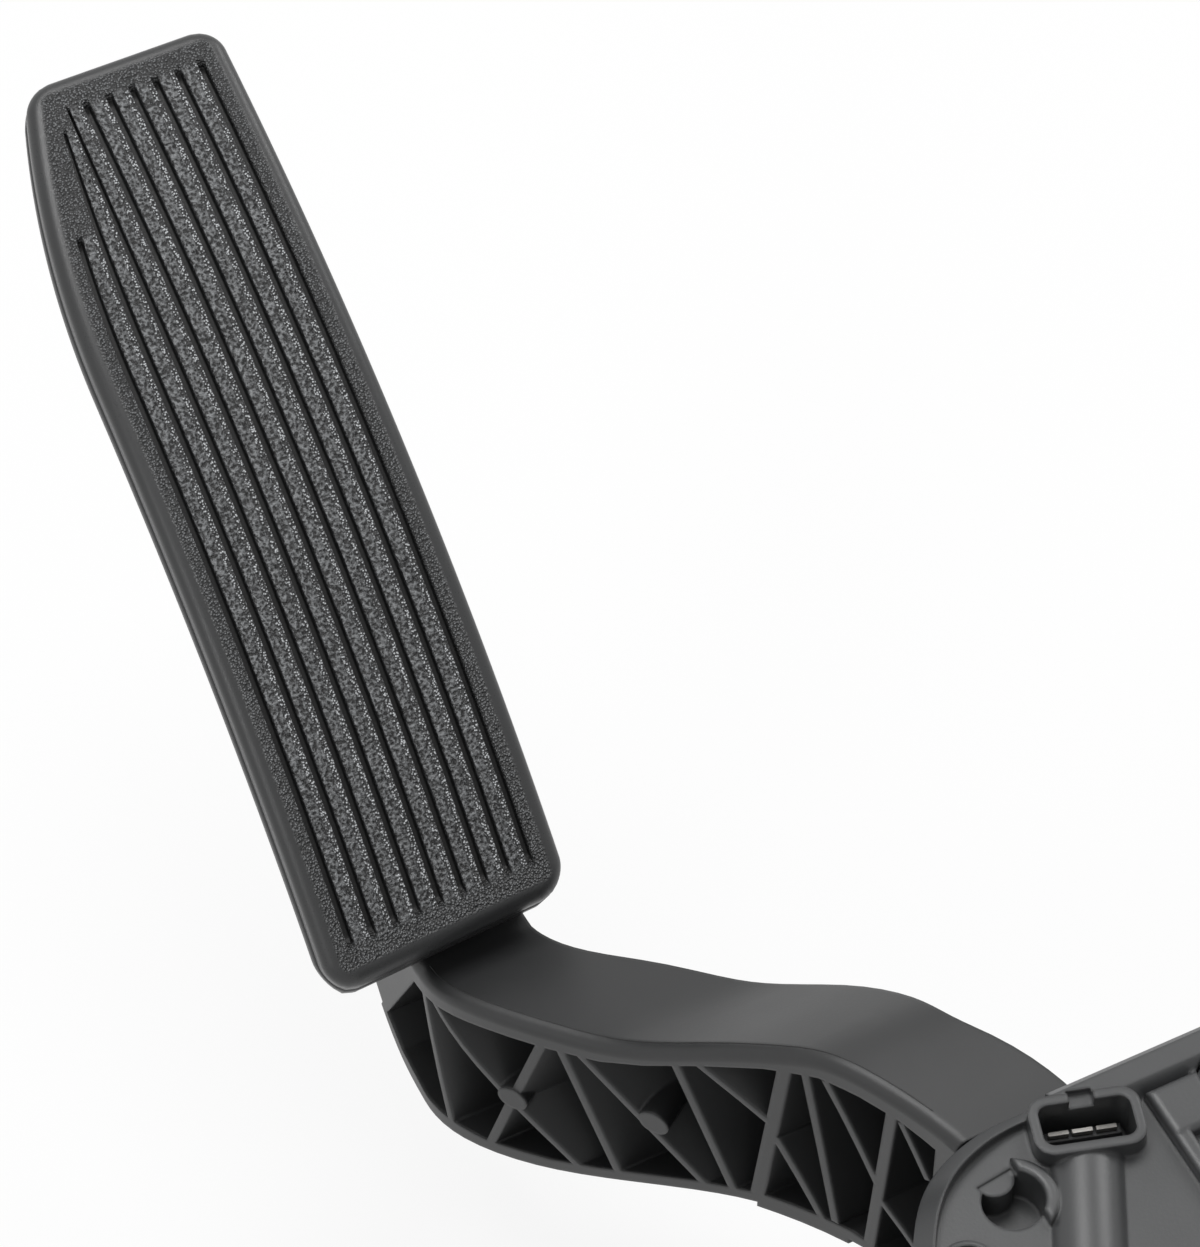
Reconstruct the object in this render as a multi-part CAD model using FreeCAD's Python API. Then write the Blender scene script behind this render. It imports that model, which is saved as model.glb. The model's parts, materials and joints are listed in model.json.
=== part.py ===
import FreeCAD, Part
import math
import os

# Accelerator pedal sensor, millimetres.
# Shapes are drawn about the pivot axis (X) and lifted by PIVOT_H when written,
# so z = 0 is the bulkhead face and +Y runs from the housing to the pad.

os.makedirs("parts", exist_ok=True)
V = FreeCAD.Vector

# Stance and fits
PIVOT_H = 82.0
RUN_GAP = 0.04
SEAT_GAP = 0.05
BODY_GAP = 0.3

# Pad: an arc in side view, slope falling from the arm end to the free end
PAD_FAR = -34.0
PAD_W = 44.6
PAD_NEAR = PAD_FAR - PAD_W
PAD_LEN = 160.9
PAD_START = (114.85, -4.05)
PAD_SLOPE = 47.63
PAD_R = 293.0
PAD_T = 8.0
PAD_FLARE = 3.2
PAD_SKIN = 4.0
PAD_WALL = 2.0
PAD_LIP = 4.0
PAD_CORNER = 5.0
PAD_EDGE = 1.8
TAPER_LEN = 54.2
TAPER_START = PAD_LEN - TAPER_LEN
TAPER_IN = 10.0
PLATE_T = 2.8
ROOT_LAP = 1.5
ROOT_LEN = 20.0
WEB_REACH = 0.7

# Tread channels of the pad
CHANNELS = 9
CHANNEL_PITCH = 4.2
CHANNEL_W = 1.6
CHANNEL_D = 1.2
CHANNEL_FROM = 5.6
CHANNEL_TO = PAD_LEN - 5.7
CHANNEL_SHORT = (PAD_LEN - 28.3, PAD_LEN - 9.7)
CHANNEL_OUT = 2.0

# Arm outlines: side view as (y, z), plan view as (x, y)
ARM_TOP_ROOT = [(0.0, 14.0), (14.0, 14.2), (21.5, 15.2), (25.4, 19.0), (27.0, 24.3)]
ARM_TOP = [(27.0, 24.3), (37.9, 23.2), (45.5, 22.3), (52.4, 20.8), (60.6, 15.9), (69.6, 8.9), (78.0, 1.8),
           (84.5, -2.6), (92.2, -5.4), (102.6, -8.3), (110.3, -10.7), (116.5, -12.6), (121.5, -13.2)]
ARM_END = (134.2, -44.8)
ARM_BELLY = [(134.2, -44.8), (131.4, -47.6), (125.9, -51.1), (117.0, -52.2), (102.6, -50.6), (92.2, -47.1),
             (84.5, -43.0), (69.6, -33.6), (60.6, -29.1), (45.5, -25.5), (20.0, -20.0), (0.0, -14.0)]
ARM_NEAR = [(-62.0, 117.0), (-60.9, 110.3), (-57.2, 102.6), (-50.2, 92.2), (-44.6, 84.5), (-33.8, 69.6),
            (-27.3, 60.6), (-22.0, 52.4), (-15.1, 37.9), (-11.6, 27.1), (-10.0, 16.0)]
ARM_FAR = [(10.0, 16.0), (8.8, 32.0), (6.7, 38.0), (3.8, 44.0), (0.6, 50.0), (-2.3, 60.0), (-8.3, 73.0),
           (-18.0, 86.0), (-28.0, 98.0), (-37.5, 108.5), (-41.0, 117.0)]
WALL_TOP = 5.0
WALL_BELLY = 2.8
WEB_FAR = 2.5
RIB_T = 1.3
POST_T = 2.0
MARK_R = 2.75
MARK_PROUD = 0.35
LIP_R = 2.0
CELL_ROOT = 31.0
END_RIB = [(119.4, -18.4), (131.9, -44.4)]
BELLY_PAD = (47.0, 62.0)
BELLY_PAD_T = 1.3
RIBS = [((115.7, -16.0), (109.2, -50.0)), ((112.4, -16.0), (87.3, -43.0)), ((93.3, -10.0), (102.1, -49.0)),
        ((90.5, -9.0), (81.6, -39.0)), ((87.7, -8.0), (68.4, -31.0)), ((73.6, 2.0), (64.2, -29.0)),
        ((70.0, 4.0), (59.5, -3.8)), ((58.4, -7.3), (50.5, -24.0)), ((54.4, 15.0), (48.1, -23.0)),
        ((51.2, 16.0), (40.9, -4.7)), ((37.9, 18.0), (32.0, 8.0)), ((40.8, -7.6), (32.0, -15.0))]
POSTS = [((57.5, 14.0), (60.7, -27.0)), ((39.6, 19.0), (41.9, -24.0))]
MARKS = [(-54.1, 97.9, -30.2), (-38.6, 76.2, -18.5)]
MARK_YAW = 36.0

# Hub, shaft and bearings
HUB_R = 14.0
HUB_HALF = 10.0
SHAFT_R = 4.0
SHAFT_HALF = 20.0
BUSH_R = 6.0
CHEEK_IN = 13.0
CHEEK_T = 4.0
CHEEK_TOP = 10.0
CHEEK_FOOT = -45.0
DISC_R = 9.5
CLIP_T = 1.0
CLIP_R = 6.5

# Heel and springs
HEEL_END = -40.0
HEEL_TOP = -6.0
HEEL_FOOT = -12.0
SPRING_Y = -30.0
CUP_T = 3.0
CUP_R = 9.5
SEAT_T = 3.0
OUTER_R = 7.6
OUTER_WIRE = 2.0
INNER_R = 4.2
INNER_WIRE = 1.4
SPRING_TURNS = 5.0

# Housing and cover
WALL = 3.0
SHELL_CORNER = 7.0
GUSSET_W = 12.0
GUSSET_H = 34.0
WALL_RIB_W = 1.8
WALL_RIB_OUT = 1.5
BACK_RIBS = (-18.0, 20.0)
FAR_RIBS = (-30.0, -18.0, 14.0)
SIDE_NEAR = -34.0
SIDE_FAR = 38.0
BACK = -45.0
FRONT = 25.5
CORNER = [(-6.0, 25.5), (-14.1, 23.8), (-20.4, 20.6), (-29.0, 9.7), (-34.0, 1.0)]
COVER_SEAT = 26.0
COVER_FLOOR = 29.4
COVER_TOP = 32.0
RIM_W = 3.0
RIM_EDGE = 0.9
FRONT_BEVEL = 4.0
ROOF_Z = 22.0
ROOF_FRONT = -19.0
SLOT_HALF = 13.0
SLOT_FOOT = -32.0
STOP_Y = (12.0, 20.0)
STOP_TOP = (-23.4, -27.5)
STOP_FOOT = -34.0
BRIDGE_T = 5.0
IDLE_Y = -35.0
IDLE_R = 4.5
IDLE_FOOT = -25.0

# Connector socket, set at a small yaw on the cover
PLUG_X = 5.6
PLUG_Y = 17.3
PLUG_YAW = -17.0
PLUG_W = 14.6
PLUG_D = 7.4
PLUG_WALL = 1.6
PLUG_FOOT = 22.4
PLUG_TOP = 33.0
PLUG_BASE = 1.6
DUCT_R = 7.2
DUCT_Z = 25.2
DUCT_LEN = 34.0
DUCT_YAW = 28.0
SPLINE_RIB = (16.6, 19.6)
SPLINE_RIB_Y = (-40.0, 10.0)
MOON = (-10.6, 11.4)
MOON_R = 4.9
MOON_FLOOR = 23.6
MOON_WALL = 1.2
TONGUE = (-11.1, 16.6)
TONGUE_R = 3.2
TONGUE_STEP = 0.35
TONGUE_YAW = 7.0
SHOULDER_X = (3.0, 31.0)
SHOULDER_Y = (17.8, 20.5)
SHOULDER_EDGE = 1.2
SHOULDER_BACK = 9.0
COLLAR_T = 2.2
COLLAR_H = 1.8
COLLAR_EDGE = 0.7
COLLAR_FROM = 3.0
BLADE_W = 3.2
BLADE_T = 0.7
BLADE_TOP = 27.6
BLADE_PITCH = 3.8
ROW_PITCH = 3.4
RAIL = (12.4, 1.7)
LATCH_W = 4.0
LATCH_H = 2.2
RAIL_TOP = 26.6

# Sensor board
BOARD_X = (-17.2, 23.0)
BOARD_Y = (-16.0, 12.5)
BOARD_Z = 18.8
BOARD_T = 1.6
CHIP = (4.0, 3.0, 1.4)
CHIP_X = 3.2
CARRIER = (15.0, 9.0)
CARRIER_Z = (11.0, 15.5)
MAGNET = (5.4, 5.0, 3.0)
POSTS_XY = [(-14.5, -13.0), (20.0, -13.0), (-14.5, 9.5), (20.0, 9.5)]
POST_R = 2.2

# Screws and bulkhead fixings
SCREWS = [(-22.5, 4.0), (29.0, 16.5), (29.0, -36.0), (-25.0, -36.0)]
SCREW_R = 2.0
SCREW_LEN = 14.0
HEAD_R = 3.4
HEAD_T = 2.0
BOSS_R = 4.6
BOSS_LEN = 20.0
EARS = [(-48.0, 0.0), (48.0, 0.0), (0.0, -57.0)]
EAR_R = 9.5
EAR_T = 9.0
SLEEVE_R = 5.2
BOLT_R = 3.3


def block(x0, x1, y0, y1, z0, z1):
    return Part.makeBox(x1 - x0, y1 - y0, z1 - z0, V(x0, y0, z0))


def rod_z(x, y, r, z0, z1):
    return Part.makeCylinder(r, z1 - z0, V(x, y, z0), V(0, 0, 1))


def rod_x(y, z, r, x0, x1):
    return Part.makeCylinder(r, x1 - x0, V(x0, y, z), V(1, 0, 0))


def ring_x(r_in, r_out, x0, x1):
    return rod_x(0, 0, r_out, x0, x1).cut(rod_x(0, 0, r_in, x0 - 1, x1 + 1))


def side(points):
    return [V(0, y, z) for y, z in points]


def plan(points):
    return [V(x, y, 0) for x, y in points]


def spline(points):
    curve = Part.BSplineCurve()
    curve.interpolate(points)
    return curve.toShape()


def line(a, b):
    return Part.makeLine(a, b)


def fill(edges):
    return Part.Face(Part.Wire(Part.__sortEdges__(edges)))


def polygon(points):
    return Part.Face(Part.makePolygon(points + [points[0]]))


def along_x(face, x0, x1):
    face.translate(V(x0, 0, 0))
    return face.extrude(V(x1 - x0, 0, 0))


def along_z(face, z0, z1):
    face.translate(V(0, 0, z0))
    return face.extrude(V(0, 0, z1 - z0))


def shifted(points, dx, dy):
    return [(a + dx, b + dy) for a, b in points]


def pad_normal(s):
    slope = math.radians(PAD_SLOPE) - s / PAD_R
    return V(0, -math.sin(slope), math.cos(slope))


def pad_point(s, depth):
    """Point on the pad's side view: s along the face, depth below it."""
    start = V(0, PAD_START[0], PAD_START[1])
    centre = start - pad_normal(0) * PAD_R
    return centre + pad_normal(s) * (PAD_R - depth)


def pad_slice(s0, s1, top, foot, x0, x1, flare=0.0):
    """Block bent along the pad's arc between two depths, its arm end leaning out by flare."""
    mid = (s0 + s1) / 2
    upper = Part.Arc(pad_point(s0, top), pad_point(mid, top), pad_point(s1, top)).toShape()
    low = s0 - flare
    lower = Part.Arc(pad_point(low, foot), pad_point(mid, foot), pad_point(s1, foot)).toShape()
    ends = [line(pad_point(s0, top), pad_point(low, foot)), line(pad_point(s1, top), pad_point(s1, foot))]
    return along_x(fill([upper, lower] + ends), x0, x1)


def taper_cutter(inset):
    """Wedge with an arc edge that narrows the near side towards the free end."""
    middle = (TAPER_START + PAD_LEN) / 2
    normal = pad_normal(middle)
    run = V(0, normal.z, -normal.y)
    base = pad_point(middle, PAD_T * 3)
    half = PAD_LEN - middle
    near = PAD_NEAR + inset
    plan_points = [(near, -half), (near + TAPER_IN / 4, 0), (near + TAPER_IN, half)]
    outer = PAD_NEAR - TAPER_IN
    plan_points += [(near + TAPER_IN, 2 * half), (outer, 2 * half), (outer, -half)]
    points = [base + V(x, 0, 0) + run * s for x, s in plan_points]
    edges = [Part.Arc(points[0], points[1], points[2]).toShape()]
    for a, b in zip(points[2:], points[3:] + points[:1]):
        edges.append(line(a, b))
    return fill(edges).extrude(normal * PAD_T * 6)


def corner_edges(shape):
    """Edges that run through the pad's thickness at its four corners."""
    found = []
    start, stop = pad_point(3, PAD_T / 2).y, pad_point(PAD_LEN - 3, PAD_T / 2).y
    for edge in shape.Edges:
        a, b = edge.Vertexes[0].Point, edge.Vertexes[-1].Point
        through = abs(a.x - b.x) < 1e-3 and edge.Length > PAD_T * 0.9
        if through and edge.Length < PAD_T * 2 and not start < (a.y + b.y) / 2 < stop:
            found.append(edge)
    return found


def pad_cover():
    middle = (PAD_NEAR + PAD_FAR) / 2
    body = pad_slice(0, PAD_LEN, 0, PAD_T, PAD_NEAR, PAD_FAR, PAD_FLARE).cut(taper_cutter(0))
    body = body.makeFillet(PAD_CORNER, corner_edges(body))
    centre = pad_point(PAD_LEN / 2, 0) + V(middle, 0, 0)
    face = min(body.Faces, key=lambda f: f.CenterOfMass.distanceToPoint(centre))
    body = body.makeFillet(PAD_EDGE, face.Edges)
    wall = PAD_WALL - SEAT_GAP
    room = pad_slice(wall, PAD_LEN - wall, PAD_SKIN, PAD_SKIN + PLATE_T + 2 * SEAT_GAP,
                     PAD_NEAR + wall, PAD_FAR - wall).cut(taper_cutter(wall))
    body = body.cut(room)
    gate = pad_slice(PAD_LIP, PAD_LEN - PAD_LIP * 2, PAD_SKIN + PLATE_T, PAD_T + 2, PAD_NEAR + PAD_LIP,
                     PAD_FAR - PAD_LIP).cut(taper_cutter(PAD_LIP))
    body = body.cut(gate)
    for index in range(CHANNELS):
        x = middle + (index - (CHANNELS - 1) / 2) * CHANNEL_PITCH
        end = CHANNEL_SHORT[index] if index < len(CHANNEL_SHORT) else CHANNEL_TO
        low, high = x - CHANNEL_W / 2, x + CHANNEL_W / 2
        body = body.cut(pad_slice(CHANNEL_FROM, end, -CHANNEL_OUT, CHANNEL_D, low, high))
    return body


def pad_plate():
    """Plate under the cover, with the root and gussets that tie it to the arm."""
    under = PAD_SKIN + SEAT_GAP
    plate = pad_slice(PAD_WALL, PAD_LEN - PAD_WALL, under, under + PLATE_T, PAD_NEAR + PAD_WALL,
                      PAD_FAR - PAD_WALL).cut(taper_cutter(PAD_WALL))
    near, far = ARM_NEAR[0][0], ARM_FAR[-1][0]
    into = under + PLATE_T * 0.6
    heel = V(0, ARM_END[0] - ROOT_LAP, ARM_END[1])
    corner = V(0, ARM_TOP[-1][0] - ROOT_LAP, ARM_TOP[-1][1] - ROOT_LAP)
    start = PAD_LIP + BODY_GAP
    root = along_x(polygon([corner, pad_point(start, PAD_T + 0.6), pad_point(start, into),
                            pad_point(ROOT_LEN + 4, into), heel]), near, far)
    plate = plate.fuse(root)
    for x in (near, (near + far - POST_T) / 2, far - POST_T):
        tip = PAD_LEN * WEB_REACH
        gusset = polygon([pad_point(ROOT_LEN, into), pad_point(tip, into), pad_point(tip, PAD_T + 1), heel])
        plate = plate.fuse(along_x(gusset, x, x + POST_T))
    return plate


def rib_plate(ends, thickness):
    (y0, z0), (y1, z1) = ends
    length = math.hypot(y1 - y0, z1 - z0)
    ny, nz = -(z1 - z0) / length * thickness / 2, (y1 - y0) / length * thickness / 2
    corners = [(y0 + ny, z0 + nz), (y1 + ny, z1 + nz), (y1 - ny, z1 - nz), (y0 - ny, z0 - nz)]
    return along_x(polygon(side(corners)), PAD_NEAR - 20, SIDE_FAR)


def near_top_edges(solid):
    """Edges between the arm's top face and its near side."""
    span = ARM_TOP[-1][0] - ARM_TOP[0][0]
    found = []
    for edge in solid.Edges:
        middle = edge.valueAt((edge.FirstParameter + edge.LastParameter) / 2)
        high = min(ARM_TOP, key=lambda point: abs(point[0] - middle.y))[1]
        along = ARM_TOP[0][0] < middle.y < ARM_TOP[-1][0]
        if along and abs(middle.z - high) < WALL_TOP and edge.Length > span / 2:
            found.append(edge)
    return [min(found, key=lambda e: e.CenterOfMass.x)]


def beyond_web():
    """Space on the far side of the arm's outline."""
    far = plan(ARM_FAR)
    tail = V(far[-1].x, ARM_END[0] + 9, 0)
    corners = [V(PIVOT_H, tail.y, 0), V(PIVOT_H, far[0].y, 0)]
    edges = [spline(far), line(far[-1], tail), line(tail, corners[0]), line(corners[0], corners[1]),
             line(corners[1], far[0])]
    return along_z(fill(edges), -PIVOT_H, PIVOT_H)


def belly_pad():
    """Thin pad under the belly, where the arm meets the stop at full press."""
    low = [(y, z) for y, z in ARM_BELLY if BELLY_PAD[0] - 2 < y < BELLY_PAD[1]]
    (y0, z0), (y1, z1) = low[-1], low[0]
    face = polygon(side([(y0, z0 + 1), (y1, z1 + 1), (y1, z1 - BELLY_PAD_T), (y0, z0 - BELLY_PAD_T)]))
    return along_x(face, PAD_NEAR, SIDE_FAR)


def arm_beam():
    """Side outline and plan outline crossed, then opened from the near side between ribs."""
    top = [spline(side(ARM_TOP_ROOT)), spline(side(ARM_TOP))]
    close = [line(side(ARM_TOP)[-1], side([ARM_END])[0]), line(side(ARM_BELLY)[-1], side(ARM_TOP_ROOT)[0])]
    profile = along_x(fill(top + close + [spline(side(ARM_BELLY))]), PAD_NEAR - 20, SIDE_FAR)

    near, far = plan(ARM_NEAR), plan(ARM_FAR)
    tail_near, tail_far = V(near[0].x, ARM_END[0] + 5, 0), V(far[-1].x, ARM_END[0] + 5, 0)
    back_near, back_far = V(near[-1].x, 0, 0), V(far[0].x, 0, 0)
    outline = [spline(near), spline(far), line(near[0], tail_near), line(tail_near, tail_far),
               line(tail_far, far[-1]), line(near[-1], back_near), line(back_near, back_far),
               line(back_far, far[0])]
    column = along_z(fill(outline), -PIVOT_H, PIVOT_H)
    solid = profile.common(column)
    solid = solid.makeFillet(LIP_R, near_top_edges(solid)).fuse(belly_pad().common(column))

    ceiling = [(y, z - WALL_TOP) for y, z in ARM_TOP[1:-2] if y > CELL_ROOT]
    floor = [(y, z + WALL_BELLY) for y, z in ARM_BELLY[2:] if y > CELL_ROOT]
    first = [(CELL_ROOT, ceiling[0][1]), (CELL_ROOT, floor[-1][1])]
    opening = first[:1] + ceiling + END_RIB + floor + first[1:]
    hollow = along_x(polygon(side(opening)), PAD_NEAR - 20, SIDE_FAR)
    inner_far = plan(shifted(ARM_FAR, -WEB_FAR, 0))
    edge_near, edge_far = V(PAD_NEAR - 15, inner_far[0].y, 0), V(PAD_NEAR - 15, ARM_END[0] + 3, 0)
    inner_tail = V(inner_far[-1].x, ARM_END[0] + 3, 0)
    depth = fill([spline(inner_far), line(inner_far[-1], inner_tail), line(inner_tail, edge_far),
                  line(edge_far, edge_near), line(edge_near, inner_far[0])])
    hollow = hollow.common(along_z(depth, -PIVOT_H, PIVOT_H))
    for ends in RIBS:
        hollow = hollow.cut(rib_plate(ends, RIB_T))
    for ends in POSTS:
        hollow = hollow.cut(rib_plate(ends, POST_T))
    yaw = math.radians(MARK_YAW)
    inward = V(math.cos(yaw), math.sin(yaw), 0)
    body = solid.cut(hollow)
    for x, y, z in MARKS:
        pin = Part.makeCylinder(MARK_R, PAD_W, V(x, y, z) - inward * MARK_PROUD, inward)
        body = body.fuse(pin.common(profile).cut(beyond_web()))
    return body


def pedal_arm():
    body = arm_beam().fuse(pad_plate())
    hub = rod_x(0, 0, HUB_R, -HUB_HALF, HUB_HALF)
    heel = along_x(polygon(side([(0, HEEL_FOOT), (HEEL_END, HEEL_FOOT), (HEEL_END, HEEL_TOP),
                                 (-HUB_R - 4, HEEL_TOP), (-HUB_R * 0.6, HUB_R * 0.7), (0, HUB_R * 0.7)])),
                   -HUB_HALF, HUB_HALF)
    body = body.fuse(hub).fuse(heel)
    body = body.cut(rod_x(0, 0, SHAFT_R + SEAT_GAP, -HUB_HALF - 1, HUB_HALF + 1))
    wide, deep = CARRIER[0] / 2 + SEAT_GAP, CARRIER[1] / 2 + SEAT_GAP
    body = body.cut(block(-wide, wide, -deep, deep, CARRIER_Z[0], COVER_TOP))
    return body.removeSplitter()


def magnet_box(sign, gap):
    width, deep, tall = MAGNET
    x = sign * (width / 2 + 0.8)
    top = CARRIER_Z[1] + (1 if gap else 0)
    return block(x - width / 2 - gap, x + width / 2 + gap, -deep / 2 - gap, deep / 2 + gap,
                 CARRIER_Z[1] - tall, top)


def magnet_carrier():
    wide, deep = CARRIER[0] / 2, CARRIER[1] / 2
    body = block(-wide, wide, -deep, deep, CARRIER_Z[0], CARRIER_Z[1])
    return body.cut(magnet_box(-1, SEAT_GAP)).cut(magnet_box(1, SEAT_GAP))


def pivot_shaft():
    shaft = rod_x(0, 0, SHAFT_R, -SHAFT_HALF, SHAFT_HALF)
    groove = SHAFT_HALF - 2 * CLIP_T
    return shaft.cut(ring_x(SHAFT_R - 1, SHAFT_R + 1, groove, groove + CLIP_T))


def shaft_clip():
    start = SHAFT_HALF - 2 * CLIP_T + SEAT_GAP
    ring = ring_x(SHAFT_R - 1 + SEAT_GAP, CLIP_R, start, start + CLIP_T - 2 * SEAT_GAP)
    return ring.cut(block(start - 1, start + CLIP_T + 1, -1.6, 1.6, 0, CLIP_R + 1))


def bush(sign):
    inner, outer = CHEEK_IN, CHEEK_IN + CHEEK_T
    return ring_x(SHAFT_R + RUN_GAP, BUSH_R, min(sign * inner, sign * outer), max(sign * inner, sign * outer))


def disc(start, stop):
    return ring_x(SHAFT_R + BODY_GAP, DISC_R, start, stop)


def coil(radius, wire):
    """Return spring between the cup and the seat."""
    foot, head = HEEL_TOP + CUP_T + SEAT_GAP, ROOF_Z - SEAT_T - SEAT_GAP
    rise = head - foot - wire
    helix = Part.makeHelix(rise / SPRING_TURNS, rise, radius)
    circle = Part.Wire([Part.Circle(V(radius, 0, 0), V(0, 1, 0), wire / 2).toShape()])
    body = Part.Wire(helix).makePipeShell([circle], True, True)
    body.translate(V(0, SPRING_Y, foot + wire / 2))
    return body


def spring_cup():
    base = rod_z(0, SPRING_Y, CUP_R, HEEL_TOP, HEEL_TOP + CUP_T)
    peg = rod_z(0, SPRING_Y, INNER_R - INNER_WIRE, HEEL_TOP, HEEL_TOP + CUP_T * 2)
    return base.fuse(peg).removeSplitter()


def spring_seat():
    base = rod_z(0, SPRING_Y, CUP_R, ROOF_Z - SEAT_T, ROOF_Z)
    peg = rod_z(0, SPRING_Y, INNER_R - INNER_WIRE, ROOF_Z - SEAT_T * 2, ROOF_Z)
    return base.fuse(peg).removeSplitter()


def shell_outline(inset):
    """Plan outline of the housing, drawn in by inset."""
    corner = plan([(x + inset * 0.7, y - inset) for x, y in CORNER])
    last = V(SIDE_NEAR + inset, corner[-1].y, 0)
    far_front = V(SIDE_FAR - inset, FRONT - inset, 0)
    far_back, near_back = V(SIDE_FAR - inset, BACK + inset, 0), V(SIDE_NEAR + inset, BACK + inset, 0)
    corner[-1] = last
    return fill([spline(corner), line(last, near_back), line(near_back, far_back), line(far_back, far_front),
                 line(far_front, corner[0])])


def shell(inset, z0, z1):
    """Extruded housing outline with its three square corners rounded."""
    body = along_z(shell_outline(inset), z0, z1)
    square = []
    for edge in body.Edges:
        a, b = edge.Vertexes[0].Point, edge.Vertexes[-1].Point
        if abs(a.z - b.z) > 1 and (a.x > SIDE_FAR - inset - 1 or a.y < BACK + inset + 1):
            square.append(edge)
    return body.makeFillet(SHELL_CORNER - inset, square)


def gusset(x, y, wall, sign):
    """Triangular web from an ear up the housing wall."""
    foot = -PIVOT_H + EAR_T - 1
    points = [V(wall, y, foot), V(wall + sign * GUSSET_W, y, foot), V(wall, y, foot + GUSSET_H)]
    return polygon(points).extrude(V(0, WALL * 0.8, 0))


def ear(x, y):
    pad = rod_z(x, y, EAR_R, -PIVOT_H, -PIVOT_H + EAR_T)
    if abs(x - (SIDE_NEAR + SIDE_FAR) / 2) > EAR_R:
        wall = SIDE_NEAR + WALL if x < 0 else SIDE_FAR - WALL
        tie = block(min(x, wall), max(x, wall), y - EAR_R, y + EAR_R, -PIVOT_H, -PIVOT_H + EAR_T)
        sign = -1 if x < 0 else 1
        tie = tie.fuse(gusset(x, y - EAR_R, wall - sign, sign))
        tie = tie.fuse(gusset(x, y - WALL * 0.4 - EAR_R / 2, wall - sign, sign))
    else:
        tie = block(x - EAR_R, x + EAR_R, y, BACK + WALL, -PIVOT_H, -PIVOT_H + EAR_T)
    return pad.fuse(tie).cut(rod_z(x, y, SLEEVE_R + SEAT_GAP, -PIVOT_H - 1, -PIVOT_H + EAR_T + 1))


def wall_ribs():
    """Upright stiffening ribs on the back and far walls."""
    foot, top = -PIVOT_H, COVER_SEAT - WALL
    ribs = []
    for x in BACK_RIBS:
        ribs.append(block(x - WALL_RIB_W / 2, x + WALL_RIB_W / 2, BACK - WALL_RIB_OUT, BACK + 1, foot, top))
    for y in FAR_RIBS:
        ribs.append(block(SIDE_FAR - 1, SIDE_FAR + WALL_RIB_OUT, y - WALL_RIB_W / 2, y + WALL_RIB_W / 2,
                          foot, top))
    return ribs


def cheek(sign):
    x0, x1 = sorted((sign * CHEEK_IN, sign * (CHEEK_IN + CHEEK_T)))
    wall = block(x0, x1, BACK + 1, FRONT - 2, CHEEK_FOOT, 0)
    boss = rod_x(0, 0, CHEEK_TOP, x0, x1)
    return wall.fuse(boss).cut(rod_x(0, 0, BUSH_R + SEAT_GAP, x0 - 1, x1 + 1))


def housing():
    body = shell(0, -PIVOT_H, COVER_SEAT)
    body = body.cut(shell(WALL, -PIVOT_H - 1, ROOF_Z))
    window = shell(WALL, ROOF_Z - 1, COVER_SEAT + 1)
    body = body.cut(window.common(block(SIDE_NEAR, SIDE_FAR, ROOF_FRONT, FRONT, 0, PIVOT_H)))
    for sign in (-1, 1):
        body = body.fuse(cheek(sign))
    reach = CHEEK_IN + 1
    body = body.fuse(block(-reach, reach, STOP_Y[0], FRONT - 1, STOP_FOOT - BRIDGE_T, STOP_FOOT))
    idle_end = IDLE_Y + IDLE_R + 2
    body = body.fuse(block(-reach, reach, BACK + 1, idle_end, IDLE_FOOT - BRIDGE_T, IDLE_FOOT))
    body = body.cut(block(-SLOT_HALF, SLOT_HALF, STOP_Y[0], FRONT + 9, SLOT_FOOT, COVER_SEAT + 1))
    for x, y in SCREWS:
        boss = rod_z(x, y, BOSS_R, COVER_SEAT - BOSS_LEN, COVER_SEAT)
        reach = block(min(x, x * 1.25), max(x, x * 1.25), y - 1.5, y + 1.5, COVER_SEAT - BOSS_LEN, COVER_SEAT)
        boss = boss.fuse(reach).common(shell(1, -PIVOT_H, PIVOT_H))
        body = body.fuse(boss)
        body = body.cut(rod_z(x, y, SCREW_R + SEAT_GAP, COVER_SEAT - SCREW_LEN, COVER_SEAT + 1))
    for rib in wall_ribs():
        body = body.fuse(rib)
    for x, y in EARS:
        body = body.fuse(ear(x, y))
    for x, y in EARS:
        body = body.cut(rod_z(x, y, SLEEVE_R + SEAT_GAP, -PIVOT_H - 1, -PIVOT_H + EAR_T + 1))
    return body.removeSplitter()


def plug_frame(shape):
    """Set a shape drawn about the socket's own centre on the cover."""
    shape.rotate(V(0, 0, 0), V(0, 0, 1), PLUG_YAW)
    shape.translate(V(PLUG_X, PLUG_Y, 0))
    return shape


def plug_block(extra, z0, z1, corner):
    body = block(-PLUG_W / 2 - extra, PLUG_W / 2 + extra, -PLUG_D / 2 - extra, PLUG_D / 2 + extra, z0, z1)
    uprights = [e for e in body.Edges if abs(e.Vertexes[0].Z - e.Vertexes[-1].Z) > 1e-6]
    return body.makeFillet(corner, uprights)


def blade_places():
    return [((column - 1) * BLADE_PITCH, (row - 0.5) * ROW_PITCH) for row in range(2) for column in range(3)]


def blades(gap, z0, z1):
    made = []
    for x, y in blade_places():
        made.append(block(x - BLADE_W / 2 - gap, x + BLADE_W / 2 + gap, y - BLADE_T / 2 - gap,
                          y + BLADE_T / 2 + gap, z0, z1))
    return plug_frame(Part.makeCompound(made))


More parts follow.
